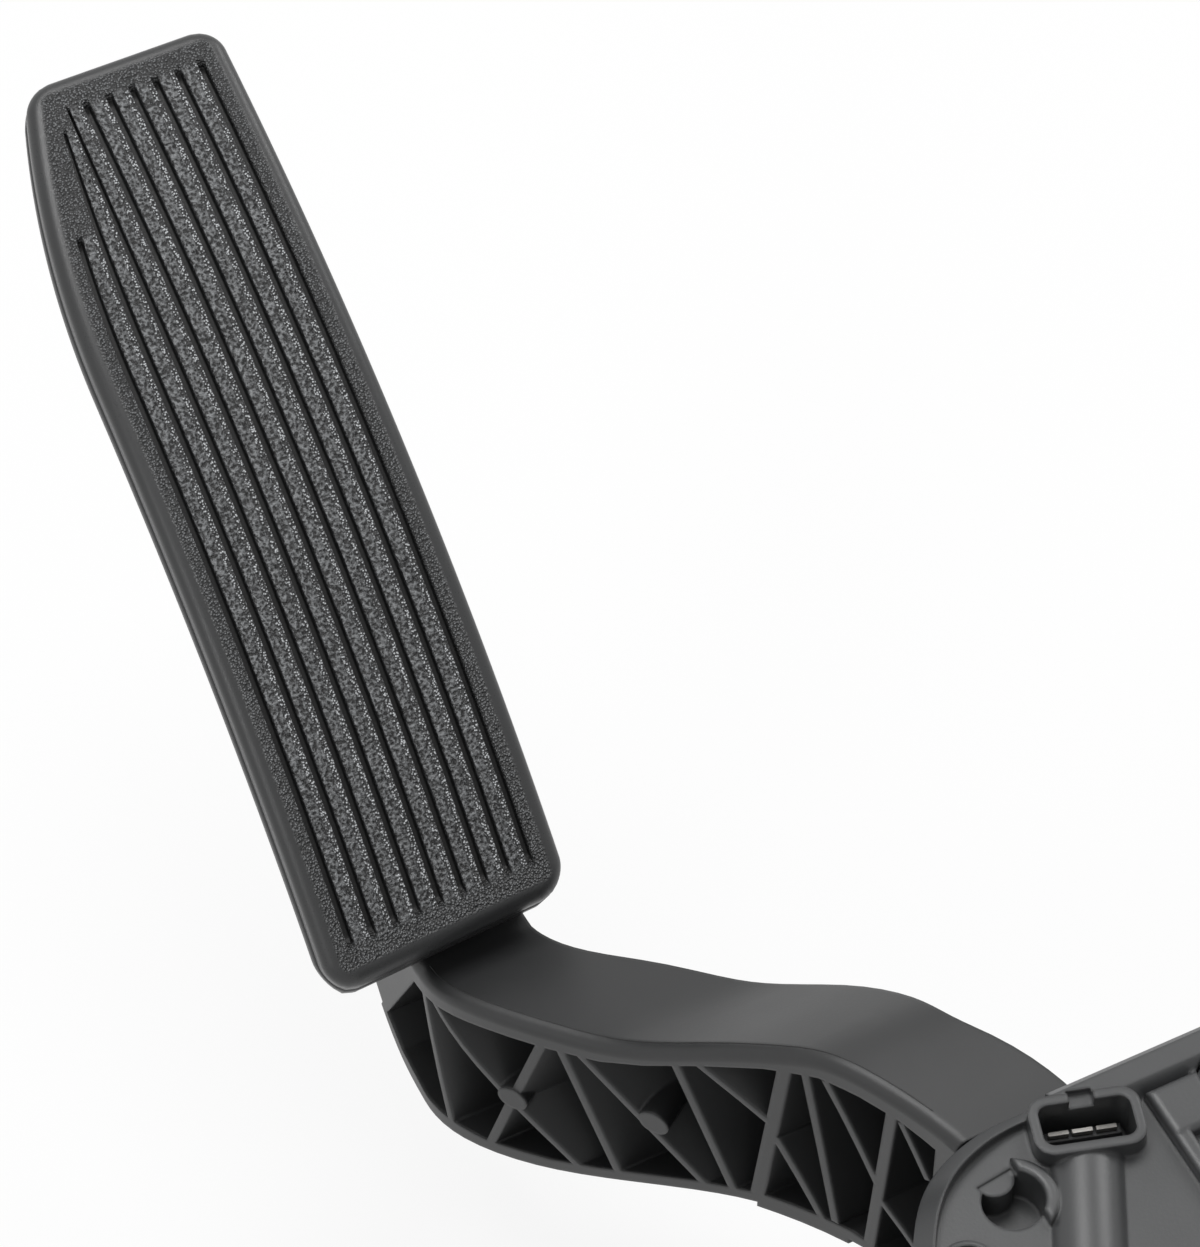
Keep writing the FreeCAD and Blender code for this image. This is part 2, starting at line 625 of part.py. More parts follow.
def terminal_duct():
    """Rounded ridge that leads from the socket back over the board."""
    yaw = math.radians(DUCT_YAW)
    run = V(-math.sin(yaw), -math.cos(yaw), 0)
    ridge = Part.makeCylinder(DUCT_R, DUCT_LEN, V(PLUG_X, PLUG_Y, DUCT_Z), run)
    ridge = ridge.fuse(Part.makeSphere(DUCT_R, V(PLUG_X, PLUG_Y, DUCT_Z) + run * DUCT_LEN))
    return ridge.common(block(SIDE_NEAR, SIDE_FAR, BACK, FRONT, COVER_SEAT, PIVOT_H))


def half_moon():
    """Round pocket in the cover with a half-round tongue left standing just below the floor."""
    pocket = rod_z(MOON[0], MOON[1], MOON_R, MOON_FLOOR, COVER_TOP + 1)
    pocket = pocket.cut(rod_z(TONGUE[0], TONGUE[1], TONGUE_R, MOON_FLOOR - 1, COVER_TOP + 2))
    low = rod_z(TONGUE[0], TONGUE[1], TONGUE_R + 0.01, COVER_FLOOR - TONGUE_STEP, COVER_TOP + 1)
    chord = block(-2 * TONGUE_R, 2 * TONGUE_R, 0, 2 * TONGUE_R, COVER_FLOOR - 1, COVER_TOP + 2)
    chord.rotate(V(0, 0, 0), V(0, 0, 1), TONGUE_YAW)
    chord.translate(V(TONGUE[0], TONGUE[1], 0))
    return pocket.fuse(low.cut(chord))


def moon_collar():
    """Low wall round the pocket's far side."""
    top = COVER_FLOOR + COLLAR_H
    wall = rod_z(MOON[0], MOON[1], MOON_R + COLLAR_T, COVER_SEAT, top)
    wall = wall.cut(rod_z(MOON[0], MOON[1], MOON_R, COVER_SEAT - 1, top + 1))
    wall = wall.common(block(MOON[0] + COLLAR_FROM, SIDE_FAR, BACK, FRONT, COVER_SEAT, PIVOT_H))
    crown = [e for e in wall.Edges if min(v.Z for v in e.Vertexes) > top - 0.1]
    return wall.makeFillet(COLLAR_EDGE, crown)


def shoulder():
    """Raised step behind the plug, its inner face sloped, running into a block round the far front screw."""
    foot, front = COVER_FLOOR - 1, FRONT - SHOULDER_EDGE
    points = [(SHOULDER_Y[0], foot), (SHOULDER_Y[1], COVER_TOP), (front, COVER_TOP)]
    points += [(FRONT, COVER_TOP - SHOULDER_EDGE), (FRONT, foot)]
    step = along_x(polygon(side(points)), SHOULDER_X[0], SHOULDER_X[1])
    corner = block(SPLINE_RIB[0], SIDE_FAR - RIM_W + 1, SHOULDER_BACK, FRONT - SHELL_CORNER, foot, COVER_TOP)
    crown = [e for e in corner.Edges if min(v.Z for v in e.Vertexes) > foot + 1]
    return step.fuse(corner.makeFillet(SHOULDER_EDGE, crown))


def sensor_cover():
    body = shell(0, COVER_SEAT, COVER_TOP)
    front = [e for e in body.Edges if min(v.Z for v in e.Vertexes) > COVER_TOP - 1
             and min(v.Y for v in e.Vertexes) > FRONT - 0.5]
    body = body.makeChamfer(FRONT_BEVEL, front)
    body = body.cut(shell(RIM_W, COVER_FLOOR, COVER_TOP + 1))
    body = body.fuse(shoulder())
    for x, y in SCREWS:
        body = body.fuse(rod_z(x, y, BOSS_R, COVER_SEAT, COVER_FLOOR + HEAD_T * 0.5))
    body = body.fuse(terminal_duct())
    rib = block(SPLINE_RIB[0], SPLINE_RIB[1], SPLINE_RIB_Y[0], SPLINE_RIB_Y[1], COVER_SEAT, COVER_TOP)
    crown = [e for e in rib.Edges if min(v.Z for v in e.Vertexes) > COVER_SEAT + 1]
    body = body.fuse(rib.makeFillet(RIM_EDGE, crown))
    body = body.fuse(moon_collar())
    low, high = MOON_FLOOR - MOON_WALL, COVER_SEAT + MOON_WALL
    body = body.fuse(rod_z(MOON[0], MOON[1], MOON_R + MOON_WALL, low, high))
    body = body.fuse(plug_frame(plug_block(PLUG_WALL, PLUG_FOOT, PLUG_TOP, 3.2)))
    body = body.cut(plug_frame(plug_block(0, PLUG_FOOT + PLUG_BASE, PLUG_TOP + 1, 1.8)))
    latch = block(-LATCH_W / 2, LATCH_W / 2, PLUG_D / 2 - 1, PLUG_D / 2 + PLUG_WALL + 1,
                  PLUG_TOP - LATCH_H, PLUG_TOP + 1)
    body = body.cut(plug_frame(latch))
    for row in (-0.5, 0.5):
        rail = block(-RAIL[0] / 2, RAIL[0] / 2, row * ROW_PITCH - RAIL[1] / 2, row * ROW_PITCH + RAIL[1] / 2,
                     PLUG_FOOT, RAIL_TOP)
        body = body.fuse(plug_frame(rail))
    body = body.cut(blades(SEAT_GAP, PLUG_FOOT - 1, RAIL_TOP + 1))
    for x, y in POSTS_XY:
        body = body.fuse(rod_z(x, y, POST_R, BOARD_Z + BOARD_T, COVER_SEAT + 0.5))
    body = body.cut(half_moon())
    for x, y in SCREWS:
        body = body.cut(rod_z(x, y, SCREW_R + SEAT_GAP, COVER_SEAT - 1, COVER_TOP + 1))
        body = body.cut(rod_z(x, y, HEAD_R + BODY_GAP, COVER_FLOOR - HEAD_T, COVER_TOP + 1))
    return body.removeSplitter()


def cover_screws():
    made = []
    for x, y in SCREWS:
        shank = rod_z(x, y, SCREW_R, COVER_SEAT - SCREW_LEN + 1, COVER_FLOOR - HEAD_T)
        head = rod_z(x, y, HEAD_R, COVER_FLOOR - HEAD_T, COVER_FLOOR)
        socket = rod_z(x, y, HEAD_R * 0.45, COVER_FLOOR - HEAD_T * 0.6, COVER_FLOOR + 1)
        made.append(shank.fuse(head).cut(socket).removeSplitter())
    return Part.makeCompound(made)


def circuit_board():
    body = block(BOARD_X[0], BOARD_X[1], BOARD_Y[0], BOARD_Y[1], BOARD_Z, BOARD_Z + BOARD_T)
    return body


def hall_chip(sign):
    wide, deep, tall = CHIP
    x0, x1 = sign * CHIP_X - wide / 2, sign * CHIP_X + wide / 2
    return block(x0, x1, -deep / 2, deep / 2, BOARD_Z - tall, BOARD_Z)


def mount_sleeves():
    made = []
    for x, y in EARS:
        outer = rod_z(x, y, SLEEVE_R, -PIVOT_H, -PIVOT_H + EAR_T)
        made.append(outer.cut(rod_z(x, y, BOLT_R, -PIVOT_H - 1, -PIVOT_H + EAR_T + 1)))
    return Part.makeCompound(made)


def stop_buffer():
    """Rubber block whose sloped top meets the arm's belly at full press."""
    back, front = STOP_Y
    outline = [(back, STOP_FOOT), (front, STOP_FOOT), (front, STOP_TOP[1]), (back, STOP_TOP[0])]
    return along_x(polygon(side(outline)), -CHEEK_IN + 3, CHEEK_IN - 3)


def idle_buffer():
    return rod_z(0, IDLE_Y, IDLE_R, IDLE_FOOT, HEEL_FOOT - BODY_GAP)


NODES = {
    "pedal_arm": pedal_arm(),
    "pad_cover": pad_cover(),
    "pivot_shaft": pivot_shaft(),
    "shaft_clip": shaft_clip(),
    "magnet_carrier": magnet_carrier(),
    "magnet_north": magnet_box(-1, 0),
    "magnet_south": magnet_box(1, 0),
    "spring_cup": spring_cup(),
    "housing": housing(),
    "sensor_cover": sensor_cover(),
    "bush_near": bush(-1),
    "bush_far": bush(1),
    "friction_disc_near": disc(-CHEEK_IN + SEAT_GAP, -HUB_HALF - BODY_GAP),
    "friction_disc_far": disc(HUB_HALF + BODY_GAP, CHEEK_IN - 1.0),
    "wave_washer": disc(CHEEK_IN - 0.95, CHEEK_IN - SEAT_GAP),
    "spring_seat": spring_seat(),
    "outer_spring": coil(OUTER_R, OUTER_WIRE),
    "inner_spring": coil(INNER_R, INNER_WIRE),
    "idle_buffer": idle_buffer(),
    "stop_buffer": stop_buffer(),
    "circuit_board": circuit_board(),
    "hall_chip_near": hall_chip(-1),
    "hall_chip_far": hall_chip(1),
    "terminals": blades(0, BOARD_Z + BOARD_T, BLADE_TOP),
    "cover_screws": cover_screws(),
    "mount_sleeves": mount_sleeves(),
}

for name, shape in NODES.items():
    shape.translate(V(0, 0, PIVOT_H))
    shape.exportStep("parts/" + name + ".step")
    print(name, shape.isValid(), len(shape.Solids), round(shape.Volume), shape.BoundBox)
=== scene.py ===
"""Accelerator pedal sensor: finishes, tread pad, light and camera around the fixed frame."""
import json
import logging
import math
from dataclasses import dataclass, field
from enum import Enum
from typing import Any, Optional, Sequence, Union

import bpy
import numpy as np
from mathutils import Matrix, Vector


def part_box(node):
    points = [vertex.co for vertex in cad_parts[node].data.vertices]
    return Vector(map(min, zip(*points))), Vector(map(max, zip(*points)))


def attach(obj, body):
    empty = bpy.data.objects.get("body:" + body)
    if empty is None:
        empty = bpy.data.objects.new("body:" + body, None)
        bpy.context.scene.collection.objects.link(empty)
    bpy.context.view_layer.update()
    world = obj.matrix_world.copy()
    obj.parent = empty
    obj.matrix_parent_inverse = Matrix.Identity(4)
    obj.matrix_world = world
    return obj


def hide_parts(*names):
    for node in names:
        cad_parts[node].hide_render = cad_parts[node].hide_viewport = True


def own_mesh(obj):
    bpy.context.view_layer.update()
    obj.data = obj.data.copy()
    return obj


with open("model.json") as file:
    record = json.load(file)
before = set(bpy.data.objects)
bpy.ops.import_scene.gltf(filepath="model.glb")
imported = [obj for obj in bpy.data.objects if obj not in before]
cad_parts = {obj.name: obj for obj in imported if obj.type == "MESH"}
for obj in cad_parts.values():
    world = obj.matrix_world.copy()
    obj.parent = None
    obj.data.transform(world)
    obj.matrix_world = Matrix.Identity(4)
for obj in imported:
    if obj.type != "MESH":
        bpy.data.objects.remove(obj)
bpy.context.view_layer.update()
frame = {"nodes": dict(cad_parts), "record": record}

LOG = logging.getLogger("pedal_sensor")
MM = 0.001
Colour = tuple[float, float, float, float]


class Body(Enum):
    """Rigid bodies of the frame."""

    HOUSING = "housing_body"
    PEDAL = "pedal_body"


class Slot(Enum):
    """Material slots of the record that new pieces take."""

    PAD = "pad_rubber"
    ARM = "arm_plastic"
    SPRING = "spring_steel"


class Joint(Enum):
    """Joints of the record."""

    PIVOT = "pedal_pivot"


# Shader maths

Operand = Union["Wire", float, int]


class Wire:
    """A node socket that builds Math nodes from Python operators."""

    def __init__(self, tree: "NodeTree", socket: Any) -> None:
        """Keep the tree and the output socket."""
        self.tree = tree
        self.socket = socket

    def _math(self, operation: str, *operands: Operand) -> "Wire":
        """Add one Math node.

        Args:
            operation: Math node operation.
            operands: values or wires for its sockets.

        Returns:
            The node's result.
        """
        inputs = dict(enumerate(operands))
        return self.tree.add("ShaderNodeMath", {"operation": operation}, inputs)

    def __add__(self, other: Operand) -> "Wire":
        """Sum."""
        return self._math("ADD", self, other)

    __radd__ = __add__

    def __sub__(self, other: Operand) -> "Wire":
        """Difference."""
        return self._math("SUBTRACT", self, other)

    def __rsub__(self, other: Operand) -> "Wire":
        """Reflected difference."""
        return self._math("SUBTRACT", other, self)

    def __mul__(self, other: Operand) -> "Wire":
        """Product."""
        return self._math("MULTIPLY", self, other)

    __rmul__ = __mul__

    def clamp(self, low: float, high: float) -> "Wire":
        """Limit to a range."""
        return self._math("MINIMUM", self._math("MAXIMUM", self, low), high)


class NodeTree:
    """Node tree of a material or world, with one method that adds any node."""

    def __init__(self, owner: Any, output: str = "ShaderNodeOutputMaterial") -> None:
        """Start an empty tree with an output."""
        self.owner = owner
        self.owner.use_nodes = True
        self.nodes = self.owner.node_tree.nodes
        self.links = self.owner.node_tree.links
        self.nodes.clear()
        self.output = self.nodes.new(output)

    @classmethod
    def material(cls, name: str) -> "NodeTree":
        """Tree of a new material."""
        return cls(bpy.data.materials.new(name))

    def add(self, kind: str, settings: dict[str, Any], inputs: dict[Any, Any], output: Any = 0) -> Wire:
        """Add a node.

        Args:
            kind: node type.
            settings: attributes set first; ramp takes a list of (position, colour) stops.
            inputs: socket name or index to a value or a Wire.
            output: name or index of the output wanted.

        Returns:
            The chosen output.
        """
        node = self.nodes.new(kind)
        for key, value in settings.items():
            if key == "ramp":
                self._ramp(node.color_ramp, value)
            else:
                setattr(node, key, value)
        for key, value in inputs.items():
            if isinstance(value, Wire):
                self.links.new(value.socket, node.inputs[key])
            else:
                node.inputs[key].default_value = value
        return Wire(self, node.outputs[output])

    @staticmethod
    def _ramp(ramp: Any, stops: Sequence[tuple[float, float]]) -> None:
        """Set a grey ramp's stops."""
        while len(ramp.elements) > 1:
            ramp.elements.remove(ramp.elements[-1])
        for index, (position, shade) in enumerate(stops):
            element = ramp.elements[0] if index == 0 else ramp.elements.new(position)
            element.position = position
            element.color = (shade, shade, shade, 1.0)

    def object_coordinates(self) -> Wire:
        """Object coordinates in metres."""
        return self.add("ShaderNodeTexCoord", {}, {}, "Object")

    def noise(self, where: Wire, scale: float, detail: float = 2.0) -> Wire:
        """Noise value between 0 and 1 at a scale per metre."""
        return self.add("ShaderNodeTexNoise", {}, {"Vector": where, "Scale": scale, "Detail": detail}, 0)

    def cells(self, where: Wire, scale: float) -> Wire:
        """Distance to the nearest cell centre."""
        return self.add("ShaderNodeTexVoronoi", {}, {"Vector": where, "Scale": scale}, "Distance")

    def mix(self, factor: Operand, first: Any, second: Any) -> Wire:
        """Blend two colours by a factor."""
        settings = {"data_type": "RGBA"}
        return self.add("ShaderNodeMix", settings, {0: factor, 6: first, 7: second}, 2)

    def bump(self, height: Wire, strength: float, distance: float, normal: Optional[Wire] = None) -> Wire:
        """Normal shaken by a height in metres."""
        inputs = {"Height": height, "Strength": strength, "Distance": distance}
        if normal is not None:
            inputs["Normal"] = normal
        return self.add("ShaderNodeBump", {}, inputs)

    def attribute(self, name: str) -> Wire:
        """Value that the mesh carries at each point."""
        return self.add("ShaderNodeAttribute", {"attribute_name": name}, {}, "Fac")

    def finish(self, shader: Wire) -> Any:
        """Join a shader to the output and return the material or world."""
        self.links.new(shader.socket, self.output.inputs["Surface"])
        return self.owner

    def surface(self, inputs: dict[str, Any]) -> bpy.types.Material:
        """Close the tree with a Principled shader and return the material."""
        return self.finish(self.add("ShaderNodeBsdfPrincipled", {}, inputs))


def grey(value: float, warm: float = -0.03) -> Colour:
    """Near-neutral colour with a slight warm or cool lean."""
    return (value * (1 + warm), value, value * (1 - warm), 1.0)


# Finishes


@dataclass(frozen=True)
class MouldedFinish:
    """Moulded plastic with fine spark grain and faint flow marks."""

    name: str
    colour: Colour
    lift: Colour
    roughness: float = 0.42
    grain: float = 2600.0
    depth: float = 0.000035
    edge: float = 0.0005
    flow: float = 55.0
    flow_share: float = 0.7
    shine: float = 0.06

    def build(self) -> bpy.types.Material:
        """Return the material; a Bevel node rounds the edges that the light sees."""
        tree = NodeTree.material(self.name)
        where = tree.object_coordinates()
        fine = tree.noise(where, self.grain)
        broad = tree.noise(where, self.flow, 3.0)
        rounded = tree.add("ShaderNodeBevel", {"samples": 4}, {"Radius": self.edge})
        normal = tree.bump(fine, 0.5, self.depth, rounded)
        marks = (broad * self.flow_share + fine * (1 - self.flow_share)).clamp(0.0, 1.0)
        tint = tree.mix(marks, self.colour, self.lift)
        rough = (self.roughness - self.shine) + broad * 0.1 + fine * self.shine
        return tree.surface({"Base Color": tint, "Roughness": rough, "Normal": normal})


@dataclass(frozen=True)
class TreadFinish:
    """Pad cover: pebble grain on margins and ridges, coarse wrinkle on the floors, smooth channels; painted
    highlights on pebble tops, ridge crests and wrinkle tops, painted shade in wrinkle valleys and channels.
    """

    name: str = "pad_tread_rubber"
    skin: Colour = grey(0.020)
    # Painted highlight: the next two colours light the pebble tops, the second along the ridge crests.
    pebble_highlight: Colour = grey(0.24)
    crest: Colour = grey(0.80)
    # Painted highlight on wrinkle tops (next colour) and painted shade in wrinkle valleys (the one after).
    floor: Colour = grey(0.23)
    wrinkle_valley_shade: Colour = grey(0.006)
    # Painted shade in the channels.
    channel_shade: Colour = grey(0.002)
    pebble: float = 2300.0
    pebble_reach: float = 0.6
    wrinkle: float = 1700.0
    wrinkle_height: float = 1.5
    cloud: float = 45.0
    dust: float = 6000.0
    relief: float = 0.0006
    roughness: float = 0.34

    def build(self) -> bpy.types.Material:
        """Return the material; the mesh carries the shares of channel, floor, crest and grain."""
        tree = NodeTree.material(self.name)
        where = tree.object_coordinates()
        channel, floor = tree.attribute("channel"), tree.attribute("floor")
        crest, grained = tree.attribute("crest"), tree.attribute("grained")
        pebble = self.pebble_reach - tree.cells(where, self.pebble)
        wrinkle = tree.noise(where, self.wrinkle, 4.0)
        broad = tree.noise(where, self.cloud, 3.0)
        fine = tree.noise(where, self.dust)
        # Painted glint: share of pebble tops drawn lighter, with a little random cloud.
        pebble_glint = (pebble * 2.8 + broad * 0.4 - 0.52).clamp(0.0, 1.0)
        grain = pebble * (1 - floor) + wrinkle * floor * self.wrinkle_height
        height = grain * grained * (1 - channel) + fine * 0.05
        normal = tree.bump(height, 1.0, self.relief)
        # Painted highlight: pebble tops lighter than the skin, much lighter on the ridge crests.
        ridge = tree.mix(pebble_glint, self.skin, tree.mix(crest, self.pebble_highlight, self.crest))
        # Painted highlight on the wrinkle tops and painted shade in their valleys on the floors.
        coarse = tree.mix((wrinkle * 4.5 - 1.9).clamp(0.0, 1.0), self.wrinkle_valley_shade, self.floor)
        # Painted shade: the channels and their walls drawn near black.
        face = tree.mix((channel * 1.6).clamp(0.0, 1.0), tree.mix(floor, ridge, coarse), self.channel_shade)
        tint = tree.mix(grained, self.skin, face)
        rough = self.roughness - grained * 0.02 + channel * 0.25 + broad * 0.1 - pebble_glint * 0.12
        return tree.surface({"Base Color": tint, "Roughness": rough, "Normal": normal})


@dataclass(frozen=True)
class MetalFinish:
    """Plated or drawn steel with fine streaks along one axis."""

    name: str
    colour: Colour
    roughness: float = 0.32
    stretch: tuple[float, float, float] = (1.0, 1.0, 0.12)
    streaks: float = 3000.0
    clouds: float = 120.0
    dulled: float = 0.72
    shine: float = 0.06

    def build(self) -> bpy.types.Material:
        """Return the material."""
        tree = NodeTree.material(self.name)
        where = tree.object_coordinates()
        along = tree.add("ShaderNodeMapping", {}, {"Vector": where, "Scale": self.stretch})
        streak = tree.noise(along, self.streaks)
        broad = tree.noise(where, self.clouds, 3.0)
        dull = tuple(channel * self.dulled for channel in self.colour[:3]) + (1.0,)
        tint = tree.mix(broad, self.colour, dull)
        rough = (self.roughness - self.shine) + streak * (2 * self.shine)
        normal = tree.bump(streak, 0.3, 0.00001)
        return tree.surface({"Base Color": tint, "Roughness": rough, "Normal": normal, "Metallic": 1.0})


@dataclass(frozen=True)
class BoardFinish:
    """Coated circuit board with faint traces under the coat."""

    name: str = "board_coat"
    colour: Colour = (0.012, 0.09, 0.035, 1.0)
    trace: Colour = (0.03, 0.17, 0.06, 1.0)
    traces: float = 260.0

    def build(self) -> bpy.types.Material:
        """Return the material."""
        tree = NodeTree.material(self.name)
        where = tree.object_coordinates()
        square = {"Vector": where, "Scale": self.traces}
        cell = tree.add("ShaderNodeTexVoronoi", {"distance": "MANHATTAN"}, square, "Distance")
        stops = [(0.0, 0.0), (0.45, 0.0), (0.5, 1.0), (0.6, 1.0)]
        line = tree.add("ShaderNodeValToRGB", {"ramp": stops}, {"Fac": cell})
        tint = tree.mix(line, self.colour, self.trace)
        rough = 0.28 + tree.noise(where, 500.0) * 0.1
        return tree.surface({"Base Color": tint, "Roughness": rough})


SPRING_WIRE = MetalFinish("spring_wire", (0.36, 0.37, 0.39, 1.0), 0.28)


@dataclass
class FinishBook:
    """Materials of the carried-over nodes, by record slot."""

    finishes: dict[str, Any] = field(default_factory=lambda: {
        "arm_plastic": MouldedFinish("arm_satin", grey(0.012), grey(0.018), 0.40, 2400.0, 0.00002, 0.0009),
        "housing_plastic": MouldedFinish(
            "housing_moulding", grey(0.032), grey(0.046), 0.32, 2000.0, 0.00003, 0.0009),
        "pad_rubber": MouldedFinish("pad_base_rubber", grey(0.012), grey(0.018), 0.55),
        "bearing_plastic": MouldedFinish("bearing_acetal", grey(0.62, 0.05), grey(0.70, 0.05), 0.38),
        "friction": MouldedFinish(
            "friction_lining", (0.16, 0.10, 0.06, 1.0), (0.24, 0.16, 0.09, 1.0), 0.62, 900.0),
        "buffer_rubber": MouldedFinish("buffer_rubber", grey(0.018), grey(0.026), 0.66, 1500.0),
        "chip": MouldedFinish("chip_moulding", grey(0.015), grey(0.024), 0.5, 3000.0),
        "steel": MetalFinish("zinc_steel", (0.56, 0.57, 0.58, 1.0)),
        "spring_steel": SPRING_WIRE,
        "magnet": MetalFinish("magnet_sinter", (0.17, 0.17, 0.18, 1.0), 0.5),
        "terminal": MetalFinish("tinned_blade", (0.36, 0.35, 0.33, 1.0), 0.36),
        "board": BoardFinish(),
    })
    coated: dict[str, Any] = field(default_factory=lambda: {
        "cover_screws": MetalFinish("black_zinc", grey(0.045), 0.42),
    })

    def dress(self) -> None:
        """Give every CAD node the finish of its slot, or its own coat."""
        built = {slot: finish.build() for slot, finish in self.finishes.items()}
        own = {node: finish.build() for node, finish in self.coated.items()}
        slots = {part["node"]: part["material_slot"] for part in frame["record"]["subparts"]}
        for name, node in frame["nodes"].items():
            node.data.materials.clear()
            node.data.materials.append(own.get(name, built[slots[name]]))
            LOG.info("dressed %s as %s", name, slots[name])


# Meshes


def quad_mesh(
    name: str, points: np.ndarray, quads: np.ndarray, ends: Sequence[list[int]] = ()
) -> bpy.types.Object:
    """Smooth mesh from points, quads and a few larger end faces, linked at the origin."""
    mesh = bpy.data.meshes.new(name)
    mesh.from_pydata(points.tolist(), [], quads.tolist() + list(ends))
    mesh.polygons.foreach_set("use_smooth", np.ones(len(mesh.polygons), dtype=bool))
    mesh.update()
    piece = bpy.data.objects.new(name, mesh)
    bpy.context.scene.collection.objects.link(piece)
    return piece


def tube_mesh(
    name: str, path: np.ndarray, radial: np.ndarray, size: np.ndarray, sides: int
) -> bpy.types.Object:
    """Closed tube: a circle carried along a path, both ends capped.

    Args:
        name: object name.
        path: points of the centre line, in millimetres.
        radial: a unit direction across the path at each point.
        size: radius at each point, in millimetres.
        sides: points of the circle.

    Returns:
        The linked object at the origin.
    """
    run = np.gradient(path, axis=0)
    run /= np.linalg.norm(run, axis=1, keepdims=True)
    rise = np.cross(run, radial)
    rise /= np.linalg.norm(rise, axis=1, keepdims=True)
    turn = np.linspace(0, 2 * math.pi, sides, endpoint=False)
    cosine, sine = np.cos(turn)[None, :, None], np.sin(turn)[None, :, None]
    ring = cosine * radial[:, None, :] + sine * rise[:, None, :]
    points = (path[:, None, :] + ring * size[:, None, None]) * MM
    index = np.arange(len(path) * sides).reshape(-1, sides)
    ahead = np.roll(index, -1, axis=1)
    quads = np.stack([index[:-1], ahead[:-1], ahead[1:], index[1:]], axis=-1).reshape(-1, 4)
    return quad_mesh(name, points.reshape(-1, 3), quads, [index[0, ::-1].tolist(), index[-1].tolist()])


